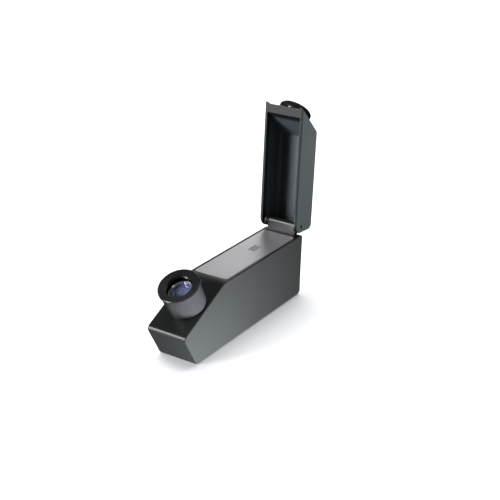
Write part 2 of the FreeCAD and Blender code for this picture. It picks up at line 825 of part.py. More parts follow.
def make_light_path():
    """The rail with its lens, reticle and mirror, and the sheet-metal baffle."""
    spots = [
        stand("lens_stand", "lens_station", "lens_radius"),
        stand("reticle_stand", "reticle_station", "lens_radius"),
        ("0", Y_MIRROR),
    ]
    lens("objective_lens", "lens_radius", "lens_edge", "lens_curve", **on_light("lens_station"))
    keeper = [
        ("lens_radius - keeper_wall", "-keeper_thick / 2"),
        ("lens_radius", "-keeper_thick / 2"),
        ("lens_radius", "keeper_thick / 2"),
        ("lens_radius - keeper_wall", "keeper_thick / 2"),
    ]
    behind = "(lens_edge + keeper_thick) / 2"
    ring("objective_keeper", keeper, **on_light(f"lens_station + {behind}"))
    glass = [
        ("0", "-reticle_thick / 2"),
        ("lens_radius", "-reticle_thick / 2"),
        ("lens_radius", "reticle_thick / 2"),
        ("0", "reticle_thick / 2"),
    ]
    ring("scale_reticle", glass, **on_light("reticle_station"))
    behind = "(reticle_thick + keeper_thick) / 2"
    ring("reticle_keeper", keeper, **on_light(f"reticle_station + {behind}"))

    mount = new_body("mirror_mount")
    back = "(mirror_thick / 2)"
    seat_y = f"({Y_MIRROR} - {back} * sin({MIRROR_TILT}))"
    seat_z = f"({Z_MIRROR} - {back} * cos({MIRROR_TILT}))"
    reach = f"(mirror_side / 2 * cos({MIRROR_TILT}))"
    fall = f"(mirror_side / 2 * sin({MIRROR_TILT}))"
    wedge = new_sketch(mount, "YZ_Plane")
    outline(wedge, [
        (f"{seat_y} - {reach}", Z_RAIL),
        (f"{seat_y} + {reach}", Z_RAIL),
        (f"{seat_y} + {reach}", f"{seat_z} - {fall}"),
        (f"{seat_y} - {reach}", f"{seat_z} + {fall}"),
    ])
    pad(wedge, "mirror_side", both=True)
    screw = circles(new_sketch(mount, "XY_Plane", Z_RAIL), "small_screw_radius", [("0", Y_MIRROR)])
    pocket(screw, "stand_bore_depth", reverse=True)
    finish(mount)

    mirror = new_body("mirror")
    glass_side = new_sketch(mirror, "XY_Plane", f"-{back}")
    half = "mirror_side / 2"
    rectangle(glass_side, f"-{half}", half, f"-{half}", half)
    pad(glass_side, "mirror_thick")
    place(mirror, along=Y_MIRROR, up=Z_MIRROR, tilt=f"-{MIRROR_TILT}")
    finish(mirror)

    rail = new_body("optics_rail")
    flat = new_sketch(rail, "XY_Plane", Z_LEDGE)
    rectangle(flat, "-rail_width / 2", "rail_width / 2", "rail_front", "rail_rear")
    pad(flat, "rail_thick")
    bores = circles(new_sketch(rail, "XY_Plane", Z_LEDGE), "case_screw_radius", RAIL_SPOTS[:2])
    pocket(bores, "rail_thick + overcut", reverse=True)
    bores = circles(new_sketch(rail, "XY_Plane", Z_LEDGE), "small_screw_radius", spots)
    pocket(bores, "rail_thick + overcut", reverse=True)
    sinks = circles(new_sketch(rail, "XY_Plane", Z_LEDGE), "small_head_radius", spots)
    pocket(sinks, "small_head_thick", reverse=True)
    finish(rail)
    upright_screws(
        "stand_screws", spots, Z_LEDGE, "small_head_radius", "small_head_thick",
        "small_screw_radius", "rail_thick - small_head_thick + stand_screw_bite",
    )

    baffle = new_body("light_baffle")
    bent = new_sketch(baffle, "YZ_Plane")
    top = f"{Z_CEILING} - baffle_clearance"
    outline(bent, [
        ("baffle_place", Z_LEDGE),
        ("baffle_place + baffle_foot", Z_LEDGE),
        ("baffle_place + baffle_foot", f"{Z_LEDGE} + baffle_thick"),
        ("baffle_place + baffle_thick", f"{Z_LEDGE} + baffle_thick"),
        ("baffle_place + baffle_thick", top),
        ("baffle_place", top),
    ])
    pad(bent, "body_width - 2 * side_wall - 4 * fit_gap", both=True)
    light_height = f"({Z_PRISM_HEART} - ({Y_PRISM} - baffle_place) * tan({LIGHT_FALL}))"
    notch = new_sketch(baffle, "XZ_Plane", "-baffle_place - baffle_thick / 2")
    rectangle(
        notch, "-baffle_window", "baffle_window", f"{light_height} - baffle_window", f"{top} + overcut",
    )
    pocket(notch, "3 * baffle_thick", both=True)
    bore = circles(new_sketch(baffle, "XY_Plane", Z_LEDGE), "case_screw_radius", RAIL_SPOTS[2:])
    pocket(bore, "baffle_thick + overcut", reverse=True)
    finish(baffle)


def make_light_port():
    """The threaded ring in the rear wall and the frosted disc it holds."""
    rear_facing = {"along": Y_PORT_SEAT, "up": PORT_HEIGHT, "tilt": "-90"}
    ring("light_port_ring", [
        ("port_radius", "port_flange_thick"),
        ("port_radius", "-port_reach + 2 * diffuser_thick"),
        ("port_radius + diffuser_lip", "-port_reach + 2 * diffuser_thick"),
        ("port_radius + diffuser_lip", "-port_reach"),
        ("port_tube_radius", "-port_reach"),
        ("port_tube_radius", "0"),
        ("port_flange_radius", "0"),
        ("port_flange_radius", "port_flange_thick - port_edge"),
        ("port_flange_radius - port_edge", "port_flange_thick"),
    ], **rear_facing)
    ring("light_diffuser", [
        ("0", "-port_reach + diffuser_thick"),
        ("port_radius + diffuser_lip", "-port_reach + diffuser_thick"),
        ("port_radius + diffuser_lip", "-port_reach + 2 * diffuser_thick"),
        ("0", "-port_reach + 2 * diffuser_thick"),
    ], **rear_facing)


# ---------------------------------------------------------------- eyepiece


def make_eyepiece_tube():
    """The fixed tube in the slope, its nut and the key that guides the cell."""
    tube = ring("eyepiece_tube", [
        ("tube_bore", "-tube_foot"),
        ("tube_neck", "-tube_foot"),
        ("tube_neck", "0"),
        (TUBE_FLANGE, "0"),
        (TUBE_FLANGE, "tube_flange_thick"),
        ("tube_radius", "tube_flange_thick"),
        ("tube_radius", "tube_top"),
        ("tube_bore", "tube_top"),
    ], **on_slope())
    key_way = [("0", "-key_level")]
    hole = circles(new_sketch(tube, "YZ_Plane", "tube_bore - overcut"), "key_radius", key_way)
    pocket(hole, "tube_neck - tube_bore + 2 * overcut", reverse=True)
    ring("tube_nut", [
        ("tube_neck", "-tube_foot + nut_lip"),
        ("nut_radius", "-tube_foot + nut_lip"),
        ("nut_radius", "-slope_wall"),
        ("tube_neck", "-slope_wall"),
    ], **on_slope())
    key = new_body("guide_key")
    stem = circles(new_sketch(key, "YZ_Plane", "tube_bore - key_depth + key_gap"), "key_radius", key_way)
    pad(stem, "tube_neck - tube_bore + key_depth - 2 * key_gap")
    place(key, **on_slope())
    finish(key)


def make_focus_ring():
    """The barrel that is turned to focus, and the dished cap on its end."""
    ring("focus_barrel", [
        (f"{TUBE_FLANGE} + 4 * running_gap", "focus_start"),
        (FOCUS_RADIUS, "focus_start"),
        (FOCUS_RADIUS, "focus_top"),
        ("mouth_radius", "focus_top"),
        ("mouth_radius", "focus_web"),
        ("tube_radius + running_gap", "focus_web"),
        ("tube_radius + running_gap", "tube_flange_thick + flange_clearance"),
        (f"{TUBE_FLANGE} + 4 * running_gap", "tube_flange_thick + flange_clearance"),
    ], **on_slope())
    ring("eyepiece_cap", [
        ("mouth_radius", "focus_top"),
        (f"{CAP_RADIUS} - cap_foot_edge", "focus_top"),
        (CAP_RADIUS, "focus_top + cap_foot_edge"),
        (CAP_RADIUS, "focus_top + cap_thick - cap_edge"),
        (f"{CAP_RADIUS} - cap_edge", "focus_top + cap_thick"),
        (f"{CAP_RADIUS} - cap_rim", "focus_top + cap_thick"),
        ("mouth_radius", "focus_top + cap_thick - cap_dish"),
    ], **on_slope())


def make_lens_cell():
    """The keyed cell that slides in the tube, with its lenses and rings."""
    body = new_body("lens_cell")
    revolve(body, [
        ("cell_bore - cell_lip", "-cell_foot"),
        ("tube_bore - running_gap", "-cell_foot"),
        ("tube_bore - running_gap", "cell_top"),
        ("cell_bore", "cell_top"),
        ("cell_bore", FIELD_SEAT),
        ("cell_bore - cell_lip", FIELD_SEAT),
    ])
    slot = new_sketch(body, "XY_Plane", "-key_slot_top")
    rectangle(
        slot,
        "tube_bore - key_depth", "tube_bore + overcut",
        "-key_radius - running_gap", "key_radius + running_gap",
    )
    pocket(slot, "cell_foot")
    place(body, **on_slope())
    finish(body)
    lens(
        "field_lens", "cell_bore", "eye_lens_edge", "field_lens_curve",
        **on_slope("field_lens_level"),
    )
    ring("lens_spacer", [
        ("cell_bore - spacer_wall", f"{FIELD_SEAT} + eye_lens_edge"),
        ("cell_bore", f"{FIELD_SEAT} + eye_lens_edge"),
        ("cell_bore", f"{EYE_LENS_LEVEL} - eye_lens_edge / 2"),
        ("cell_bore - spacer_wall", f"{EYE_LENS_LEVEL} - eye_lens_edge / 2"),
    ], **on_slope())
    lens("eye_lens", "cell_bore", "eye_lens_edge", "eye_lens_curve", **on_slope(EYE_LENS_LEVEL))
    ring("ocular_ring", [
        ("cell_bore - ocular_lip", f"{EYE_LENS_LEVEL} + eye_lens_edge / 2"),
        ("cell_bore", f"{EYE_LENS_LEVEL} + eye_lens_edge / 2"),
        ("cell_bore", "cell_top"),
        ("ocular_ring_radius", "cell_top"),
        ("ocular_ring_radius", "cell_top + ocular_ring_thick - ocular_edge"),
        ("ocular_ring_radius - ocular_edge", "cell_top + ocular_ring_thick"),
        ("cell_bore + ocular_edge", "cell_top + ocular_ring_thick"),
    ], **on_slope())


# ---------------------------------------------------------------- lid and hinge


def make_hinge():
    """The block on the rear deck, its pin, its two washers and its screws."""
    block = new_body("hinge_block")
    face = new_sketch(block, "YZ_Plane")
    rectangle(face, Y_BLOCK_FRONT, f"{Y_PIN} + block_thick / 2", "body_height", Z_PIN)
    pad(face, BLOCK_WIDTH, both=True)
    knuckle = circles(new_sketch(block, "YZ_Plane"), "block_thick / 2", [(Y_PIN, Z_PIN)])
    pad(knuckle, BLOCK_WIDTH, both=True)
    tenon = new_sketch(block, "XY_Plane", "body_height")
    rectangle(
        tenon,
        f"-{BLOCK_WIDTH} / 2", f"{BLOCK_WIDTH} / 2",
        Y_TENON_FRONT, Y_TENON_REAR,
    )
    pad(tenon, "block_tenon_depth", reverse=True)
    bore = circles(new_sketch(block, "YZ_Plane"), "pin_radius", [(Y_PIN, Z_PIN)])
    pocket(bore, both=True)
    taps = circles(new_sketch(block, "XZ_Plane", f"-{Y_TENON_REAR}"), "small_screw_radius", HINGE_SPOTS)
    pocket(taps, "hinge_tap_depth", reverse=True)
    finish(block)

    pin = new_body("hinge_pin")
    pin_round = circles(new_sketch(pin, "YZ_Plane"), "pin_radius", [(Y_PIN, Z_PIN)])
    pad(pin_round, "body_width - 2 * pin_short", both=True)
    finish(pin)

    washers = new_body("friction_washers")
    for hand in ("", "-"):
        inner = f"{hand}({BLOCK_WIDTH} / 2)"
        rim = circles(new_sketch(washers, "YZ_Plane", inner), "washer_radius", [(Y_PIN, Z_PIN)])
        circles(rim, "pin_radius", [(Y_PIN, Z_PIN)])
        pad(rim, "washer_thick", reverse=bool(hand))
    finish(washers)

    screws = new_body("hinge_screws")
    seat = f"-{Y_HINGE_SEAT}"
    head = circles(new_sketch(screws, "XZ_Plane", seat), "hinge_head_radius", HINGE_SPOTS)
    pad(head, "hinge_head_thick", reverse=True)
    stem = circles(new_sketch(screws, "XZ_Plane", seat), "small_screw_radius", HINGE_SPOTS)
    pad(stem, f"{Y_HINGE_SEAT} - {Y_TENON_REAR} + hinge_screw_bite")
    finish(screws)


def make_lid():
    """The lid, drawn closed about its pin and placed standing open."""
    body = new_body("lid_shell")
    side = new_sketch(body, "YZ_Plane")
    outline(side, [
        ("-lid_reach", LID_RIM),
        ("lid_heel", LID_RIM),
        ("lid_heel", "lid_roof"),
        ("-lid_roof_reach", "lid_roof"),
    ])
    pad(side, "body_width", both=True)
    round_edges(body, "lid_brow_round", crosswise_at(("-lid_roof_reach", "lid_roof")))
    round_edges(body, "lid_heel_round", crosswise_at(("lid_heel", "lid_roof")))
    round_edges(body, "lid_ear_round", crosswise_at(("lid_heel", LID_RIM)))
    rim = number(LID_RIM)
    round_edges(body, "lid_edge_round", lambda edge: (
        edge.BoundBox.XLength < HAIR and edge.BoundBox.Center.z > rim + HAIR
    ))

    hollow = new_sketch(body, "YZ_Plane")
    inner_rise = f"(lid_roof - lid_roof_wall - {LID_RIM})"
    tip = "(-lid_reach + lid_rim_band)"
    outline(hollow, [
        (f"{tip} - overcut / tan({LID_SLOPE})", f"{LID_RIM} - overcut"),
        ("lid_heel + overcut", f"{LID_RIM} - overcut"),
        ("lid_heel + overcut", "lid_heel_free"),
        ("lid_heel - lid_heel_wall", "lid_heel_free"),
        ("lid_heel - lid_heel_wall", "lid_roof - lid_roof_wall"),
        (f"{tip} + {inner_rise} / tan({LID_SLOPE})", "lid_roof - lid_roof_wall"),
    ])
    pocket(hollow, "body_width - 2 * lid_side_wall", both=True)
    inner_half = number("body_width / 2 - lid_side_wall")
    inner_roof = number("lid_roof - lid_roof_wall")
    round_edges(body, "lid_hollow_round", lambda edge: (
        near(edge.BoundBox.ZMax, inner_roof) and edge.BoundBox.ZLength < HAIR
        and edge.BoundBox.XMax < inner_half + HAIR and edge.BoundBox.XMin > -inner_half - HAIR
    ))

    for hand in ("", "-"):
        inner = f"{hand}(body_width / 2 - lid_side_wall / 2)"
        boss = circles(new_sketch(body, "YZ_Plane", inner), "ear_boss_radius")
        pad(boss, "ear_boss_thick + lid_side_wall / 2", reverse=not hand)
    bore = circles(new_sketch(body, "YZ_Plane"), "pin_radius + running_gap")
    pocket(bore, "body_width + 2 * overcut", both=True)

    relief = new_sketch(body, "XY_Plane", f"{LID_RIM} - overcut")
    rectangle(
        relief,
        "-body_width / 2 + horn_wall", "body_width / 2 - horn_wall",
        "-lid_reach - overcut", "-lid_reach + horn_depth",
    )
    pocket(relief, "lid_roof", reverse=True)
    inner_tip = number("-lid_reach + horn_depth")
    horn_side = number("body_width / 2 - horn_wall")
    round_edges(body, "horn_round", lambda edge: (
        edge.BoundBox.XLength < HAIR and near(abs(edge.BoundBox.Center.x), horn_side)
        and edge.BoundBox.YLength < HAIR and near(edge.BoundBox.Center.y, inner_tip)
    ))

    socket = circles(tilted_sketch(body, Y_PARK, Z_PARK, LID_SLOPE), SLEEVE_RADIUS)
    pocket(socket, "park_depth")
    place(body, **on_lid())
    finish(body)

    ring("parking_sleeve", [
        ("mouth_radius", "-park_depth"),
        (SLEEVE_RADIUS, "-park_depth"),
        (SLEEVE_RADIUS, "0"),
        ("mouth_radius", "0"),
    ], **on_lid_slope())


def make_polariser():
    """The polarising filter, parked by its spigot in the lid's sloped end."""
    ring("polariser_spigot", [
        (f"{SPIGOT_RADIUS} - spigot_wall", "-spigot_foot"),
        (SPIGOT_RADIUS, "-spigot_foot"),
        (SPIGOT_RADIUS, "spigot_shoulder - running_gap"),
        (SPIGOT_NECK, "spigot_shoulder - running_gap"),
        (SPIGOT_NECK, "spigot_top"),
        (f"{SPIGOT_RADIUS} - spigot_wall", "spigot_top"),
    ], **on_lid_slope())
    ring("polariser_ring", [
        (f"{SPIGOT_NECK} + running_gap", "spigot_shoulder"),
        ("polariser_radius - polariser_foot_edge", "spigot_shoulder"),
        ("polariser_radius", "spigot_shoulder + polariser_foot_edge"),
        ("polariser_radius", "polariser_top - polariser_edge"),
        ("polariser_radius - polariser_edge", "polariser_top"),
        ("film_radius", "polariser_top"),
        ("film_radius", "polariser_web + polariser_web_thick"),
        ("polariser_window", "polariser_web + polariser_web_thick"),
        ("polariser_window", "polariser_web"),
        (f"{SPIGOT_NECK} + running_gap", "polariser_web"),
    ], **on_lid_slope())
    film_foot = "(polariser_web + polariser_web_thick)"
    ring("polariser_film", [
        ("0", film_foot),
        ("film_radius", film_foot),
        ("film_radius", f"{film_foot} + film_thick"),
        ("0", f"{film_foot} + film_thick"),
    ], **on_lid_slope())
    ring("film_keeper", [
        ("polariser_window", f"{film_foot} + film_thick"),
        ("film_radius", f"{film_foot} + film_thick"),
        ("film_radius", "polariser_top - running_gap"),
        ("polariser_window", "polariser_top - running_gap"),
    ], **on_lid_slope())


# ---------------------------------------------------------------- build and write

make_body_shell()
make_base()
make_stage()
make_prism()
make_light_path()
make_light_port()
make_eyepiece_tube()
make_focus_ring()
make_lens_cell()
make_hinge()
make_lid()
make_polariser()
doc.recompute()

for item in doc.Objects:
    if any(word in item.State for word in ("Invalid", "Error")):
        raise RuntimeError(f"{item.Label} failed: {item.State}")
for piece in parts:
    if piece.Shape.isNull() or not piece.Shape.isValid():
        raise RuntimeError(f"{piece.Label} has no valid shape")

os.makedirs("parts", exist_ok=True)
for piece in parts:
    piece.Shape.exportStep(f"parts/{piece.Label}.step")
    box = piece.Shape.BoundBox
    print(f"{piece.Label:22s} solids {len(piece.Shape.Solids)}  volume {piece.Shape.Volume:9.1f}"
          f"  y {box.YMin:7.2f} {box.YMax:7.2f}  z {box.ZMin:7.2f} {box.ZMax:7.2f}")
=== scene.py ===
"""A gem refractometer: its paints and metals, its small turned parts and a studio."""

import json
import math

import bmesh
import bpy
from bpy.props import FloatProperty, FloatVectorProperty, IntProperty, PointerProperty
from mathutils import Matrix, Vector


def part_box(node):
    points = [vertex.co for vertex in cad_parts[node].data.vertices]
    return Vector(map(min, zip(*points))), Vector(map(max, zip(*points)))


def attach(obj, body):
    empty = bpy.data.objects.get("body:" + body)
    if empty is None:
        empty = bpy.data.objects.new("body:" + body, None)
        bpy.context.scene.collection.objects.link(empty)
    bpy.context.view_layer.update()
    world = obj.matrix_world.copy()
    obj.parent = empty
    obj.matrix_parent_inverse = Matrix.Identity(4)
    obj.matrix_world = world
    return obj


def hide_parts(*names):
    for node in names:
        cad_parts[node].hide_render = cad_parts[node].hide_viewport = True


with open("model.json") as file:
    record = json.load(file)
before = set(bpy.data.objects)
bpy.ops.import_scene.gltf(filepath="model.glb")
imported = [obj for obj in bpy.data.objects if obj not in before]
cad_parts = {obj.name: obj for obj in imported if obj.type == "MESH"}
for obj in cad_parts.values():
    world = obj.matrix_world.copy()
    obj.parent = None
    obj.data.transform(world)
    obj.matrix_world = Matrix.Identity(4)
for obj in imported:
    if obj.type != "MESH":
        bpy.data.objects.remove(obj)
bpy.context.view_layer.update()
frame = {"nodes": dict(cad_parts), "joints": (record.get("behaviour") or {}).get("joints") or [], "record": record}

bl_info = {
    "name": "Gem refractometer",
    "version": (1, 0, 0),
    "blender": (4, 5, 0),
    "location": "View3D > Sidebar > Refractometer",
    "description": "Finishes, turned parts and a studio for a gem refractometer",
    "category": "Object",
}

MM = 0.001
NODES = frame["nodes"]
JOINTS = {joint["name"]: joint for joint in frame["joints"]}
SLOT_OF = {part["node"]: part["material_slot"] for part in frame["record"]["subparts"]}


# ---------------------------------------------------------------- places in the frame

class Axle:
    """A line that round parts are turned about, with its own flat axes."""

    def __init__(self, origin, direction):
        self.origin = Vector(origin)
        self.along = Vector(direction).normalized()
        self.side = Vector((1.0, 0.0, 0.0))
        if abs(self.along.x) > 0.9:
            self.side = Vector((0.0, 1.0, 0.0))
        self.side = (self.side - self.along * self.side.dot(self.along)).normalized()
        self.across = self.along.cross(self.side)

    def matrix(self):
        """Takes a part drawn about Z to its place on this line."""
        turn = Matrix((self.side, self.across, self.along)).transposed().to_4x4()
        return Matrix.Translation(self.origin) @ turn

    def level(self, node, end):
        """How far along the line a packed node begins (0) or ends (1)."""
        spots = [
            (NODES[node].matrix_world @ vertex.co - self.origin).dot(self.along)
            for vertex in NODES[node].data.vertices
        ]
        return max(spots) if end else min(spots)

    def radius(self, node):
        """The largest distance of a packed node from the line."""
        return max(
            (NODES[node].matrix_world @ vertex.co - self.origin).cross(self.along).length
            for vertex in NODES[node].data.vertices
        )


def joint_axle(name):
    joint = JOINTS[name]
    return Axle(joint["pos_m"], joint["axis"])


EYEPIECE = joint_axle("focus_turn")
FILTER = joint_axle("polariser_turn")


# ---------------------------------------------------------------- node trees

class Flow:
    """A socket of a node tree on which ordinary arithmetic adds Math nodes."""

    def __init__(self, tree, socket):
        self.tree = tree
        self.socket = socket

    def math(self, operation, first, second):
        return self.tree.node("ShaderNodeMath", {"operation": operation}, {0: first, 1: second})

    def __add__(self, other):
        return self.math("ADD", self, other)

    def __radd__(self, other):
        return self.math("ADD", other, self)

    def __sub__(self, other):
        return self.math("SUBTRACT", self, other)

    def __rsub__(self, other):
        return self.math("SUBTRACT", other, self)

    def __mul__(self, other):
        return self.math("MULTIPLY", self, other)

    def __rmul__(self, other):
        return self.math("MULTIPLY", other, self)

    def __truediv__(self, other):
        return self.math("DIVIDE", self, other)

    def size(self):
        return self.tree.node("ShaderNodeMath", {"operation": "ABSOLUTE"}, {0: self})

    def between(self, low, high):
        """0 under low, 1 over high, and an even climb from one to the other."""
        values = {"Value": self, "From Min": low, "From Max": high}
        return self.tree.node("ShaderNodeMapRange", {"interpolation_type": "SMOOTHSTEP"}, values)


class Tree:
    """A node tree being made, and the one method that adds a node to it."""

    def __init__(self, tree):
        self.tree = tree
        self.tree.nodes.clear()

    def node(self, kind, settings=None, values=None, output=0):
        made = self.tree.nodes.new(kind)
        for name, value in (settings or {}).items():
            setattr(made, name, value)
        for key, value in (values or {}).items():
            if isinstance(value, Flow):
                self.tree.links.new(value.socket, made.inputs[key])
            else:
                made.inputs[key].default_value = value
        return Flow(self, made.outputs[output]) if made.outputs else made


class Pattern(Tree):
    """A Geometry Nodes tree that repeats a shape, with named inputs for its sizes."""

    KINDS = {int: "NodeSocketInt", float: "NodeSocketFloat"}

    def __init__(self, name, sizes):
        self.name = name
        self.group = bpy.data.node_groups.new(name, "GeometryNodeTree")
        super().__init__(self.group)
        face = self.group.interface
        face.new_socket("Geometry", in_out="INPUT", socket_type="NodeSocketGeometry")
        self.values = {}
        for word, value in sizes.items():
            socket = face.new_socket(word, in_out="INPUT", socket_type=self.KINDS[type(value)])
            self.values[socket.identifier] = value
        face.new_socket("Geometry", in_out="OUTPUT", socket_type="NodeSocketGeometry")
        self.inlet = self.tree.nodes.new("NodeGroupInput")

    def given(self, word):
        """The tree's own input of that name."""
        return Flow(self, self.inlet.outputs[word])

    def spot(self, x, y, z):
        return self.node("ShaderNodeCombineXYZ", {}, {0: x, 1: y, 2: z})

    def on_points(self, points, shape, **values):
        values.update({"Points": points, "Instance": shape})
        return self.node("GeometryNodeInstanceOnPoints", {}, values)

    def close(self, shape, material):
        made = self.node("GeometryNodeRealizeInstances", {}, {"Geometry": shape})
        made = self.node("GeometryNodeSetMaterial", {}, {"Geometry": made, "Material": material})
        self.node("NodeGroupOutput", {}, {"Geometry": made})

    def grown_on(self, mesh, matrix):
        """A plain mesh of what the tree makes from a starting mesh, put in its place."""
        start = bpy.data.objects.new(self.name, mesh)
        bpy.context.scene.collection.objects.link(start)
        modifier = start.modifiers.new(self.name, "NODES")
        modifier.node_group = self.group
        for identifier, value in self.values.items():
            modifier[identifier] = value
        result = start.evaluated_get(bpy.context.evaluated_depsgraph_get())
        made = bpy.data.meshes.new_from_object(result)
        start.modifiers.remove(modifier)
        bpy.data.objects.remove(start)
        made.transform(matrix)
        return made


class Finish(Tree):
    """A material for one of the instrument's finishes."""

    def __init__(self, name):
        self.material = bpy.data.materials.new(name)
        self.material.use_nodes = True
        super().__init__(self.material.node_tree)

    def place(self):
        return self.node("ShaderNodeTexCoord", output="Object")

    def vector(self, operation, first, second, output=0):
        return self.node("ShaderNodeVectorMath", {"operation": operation}, {0: first, 1: second}, output)

    def noise(self, size, detail=2.0, place=None, output="Fac"):
        """Soft random patches about as wide as size, in metres."""
        values = {"Vector": place or self.place(), "Scale": 1.0 / size, "Detail": detail}
        return self.node("ShaderNodeTexNoise", {}, values, output)

    def mix(self, first, second, share):
        """Two colours blended by a share that varies over the surface."""
        made = {"data_type": "RGBA"}
        values = {0: share, 6: (*first, 1.0), 7: (*second, 1.0)}
        return self.node("ShaderNodeMix", made, values, 2)

    def bump(self, height, depth, strength=1.0, under=None):
        values = {"Height": height, "Distance": depth, "Strength": strength}
        if under is not None:
            values["Normal"] = under
        return self.node("ShaderNodeBump", {}, values)

    def turning(self, axle, pitch):
        """Fine lathe lines: they run round the axle on its faces and its flanks."""
        from_axle = self.vector("SUBTRACT", self.place(), axle.origin)
        along = self.vector("DOT_PRODUCT", from_axle, axle.along, "Value")
        crossed = self.vector("CROSS_PRODUCT", from_axle, axle.along)
        out = self.node("ShaderNodeVectorMath", {"operation": "LENGTH"}, {0: crossed}, "Value")
        values = {"W": (along + out) / pitch, "Scale": 1.0, "Detail": 1.5}
        return self.node("ShaderNodeTexNoise", {"noise_dimensions": "1D"}, values)

    def surface(self, **values):
        """The closing shader. Words like base_color name its sockets."""
        sockets = {}
        for word, value in values.items():
            name = word.replace("_", " ").title().replace("Ior", "IOR")
            if isinstance(value, tuple) and len(value) == 3:
                value = (*value, 1.0)
            sockets[name] = value
        shader = self.node("ShaderNodeBsdfPrincipled", {}, sockets)
        self.node("ShaderNodeOutputMaterial", {}, {"Surface": shader})
        return self.material


def shade(colour, share):
    return tuple(channel * share for channel in colour)


# The lid's hollow, measured shut and from its pin, and how softly the lighter colour painted inside it ends:
# painted light standing in for the light that falls on its roof and walls.
LID_WALL = 1.95 * MM
LID_CEILING = 12.2 * MM
LID_MOUTH = -1.5 * MM
FADE = 0.2 * MM


def lid_painted_light_mask(finish):
    """The mask of the painted light inside the lid: 1 on the roof and the walls inside the lid, 0 on its rim and
    outside.
    """
    joint = JOINTS["lid_hinge"]
    shut = math.radians(joint["range_deg"][1])
    from_pin = finish.vector("SUBTRACT", finish.place(), tuple(joint["pos_m"]))
    up = finish.vector("DOT_PRODUCT", from_pin, (0.0, math.sin(shut), math.cos(shut)), "Value")
    sideways = finish.node("ShaderNodeSeparateXYZ", {}, {0: from_pin}, "X").size()
    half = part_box("lid_shell")[1][0] - LID_WALL
    under_roof = 1 - up.between(LID_CEILING, LID_CEILING + 2 * FADE)
    between_walls = 1 - sideways.between(half, half + FADE)
    return up.between(LID_MOUTH - 10 * FADE, LID_MOUTH) * under_roof * between_walls


def satin_paint(name, colour, look, pale=None):
    """Baked satin paint: a fine powder grain, a gloss that drifts a little and, where a second colour is given,
    painted light inside the lid.
    """
    finish = Finish(name)
    broad = finish.noise(look.drift_size, 3.0)
    patch = finish.noise(look.drift_size / 6)
    grain = finish.noise(look.grain_size, 2.0)
    peel = finish.noise(look.grain_size * 5)
    tone = finish.mix(shade(colour, 0.88), shade(colour, 1.12), broad)
    # Where a second colour is given, the inside of the lid is painted lighter: painted light standing in for the
    # light on its roof and walls.
    if pale:
        tone = finish.node("ShaderNodeMix", {"data_type": "RGBA"}, {
            0: lid_painted_light_mask(finish), 6: tone, 7: (*pale, 1.0)}, 2)
    gloss = look.roughness + (broad - 0.5) * 0.10 + (patch - 0.5) * 0.06
    normal = finish.bump(peel, look.grain_depth * 2, 0.6, finish.bump(grain, look.grain_depth))
    return finish.surface(
        base_color=tone, roughness=gloss, normal=normal, specular_ior_level=look.gloss_level)


def brushed_plate(name, colour, look):
    """Satin metal brushed lengthwise, with a few longer strokes and faint handling marks."""
    finish = Finish(name)
    place = finish.place()
    stroke = (1.0 / look.stroke_width, 1.0 / look.stroke_length, 1.0 / look.stroke_length)
    fine = finish.noise(1.0, 3.0, finish.vector("MULTIPLY", place, stroke))
    coarse = finish.noise(1.0, 2.0, finish.vector("MULTIPLY", place, tuple(s / 4 for s in stroke)))
    smear = finish.noise(look.stroke_length * 1.2, 3.0)
    tone = finish.mix(shade(colour, 0.9), shade(colour, 1.08), fine * 0.5 + coarse * 0.5)
    gloss = look.roughness + (fine - 0.5) * 0.12 + (smear - 0.5) * 0.08
    normal = finish.bump(coarse, look.stroke_depth * 2, 0.5, finish.bump(fine, look.stroke_depth))
    return finish.surface(base_color=tone, roughness=gloss, metallic=look.metal_share, normal=normal)


def turned_metal(name, colour, roughness, axle, pitch=0.00012, depth=0.000004, metallic=1.0):
    """Metal off a lathe."""
    finish = Finish(name)
    lines = finish.turning(axle, pitch)
    haze = finish.noise(0.004, 3.0)
    tone = finish.mix(shade(colour, 0.85), shade(colour, 1.1), haze)
    gloss = roughness + (haze - 0.5) * 0.12 + (lines - 0.5) * 0.06
    normal = finish.bump(lines, depth)
    return finish.surface(base_color=tone, roughness=gloss, metallic=metallic, normal=normal)


def plain_steel(name, colour, roughness):
    finish = Finish(name)
    haze = finish.noise(0.0006, 4.0)
    tone = finish.mix(shade(colour, 0.8), shade(colour, 1.1), haze)
    gloss = roughness + (haze - 0.5) * 0.2
    return finish.surface(base_color=tone, roughness=gloss, metallic=1.0, normal=finish.bump(haze, 0.000006))


def dull_coat(name, colour, grain, roughness, depth):
    """A dead matt surface, such as blackened metal or rubber."""
    finish = Finish(name)
    speck = finish.noise(grain, 4.0)
    cloud = finish.noise(grain * 20, 2.0)
    tone = finish.mix(shade(colour, 0.75), shade(colour, 1.25), cloud)
    gloss = roughness + (speck - 0.5) * 0.15
    return finish.surface(base_color=tone, roughness=gloss, normal=finish.bump(speck, depth))


def optical_glass(name, colour, ior, haze=0.015, **extra):
    """Polished glass with the faintest dust."""
    finish = Finish(name)
    dust = finish.noise(0.0005, 4.0)
    gloss = haze + dust.between(0.62, 0.8) * 0.12
    tone = finish.mix(colour, shade(colour, 0.96), dust)
    return finish.surface(base_color=tone, roughness=gloss, ior=ior, **extra)


# ---------------------------------------------------------------- mesh tools

def lathe(name, outline, matrix, steps=96, swell=None):
    """A closed ring or disc turned about Z from (radius, level) corners."""
    mesh = bpy.data.meshes.new(name)
    work = bmesh.new()
    rings = []
    for radius, level in outline:
        ring = []
        for step in range(steps):
            angle = 2 * math.pi * step / steps
            reach = radius + (swell(radius, level, angle) if swell else 0.0)
            ring.append(work.verts.new((reach * math.cos(angle), reach * math.sin(angle), level)))
        rings.append(ring)
    for first, second in zip(rings, rings[1:] + rings[:1]):
        for step in range(steps):
            after = (step + 1) % steps
            work.faces.new((first[step], first[after], second[after], second[step]))
    bmesh.ops.recalc_face_normals(work, faces=work.faces)
    work.to_mesh(mesh)
    work.free()
    mesh.transform(matrix)
    return mesh


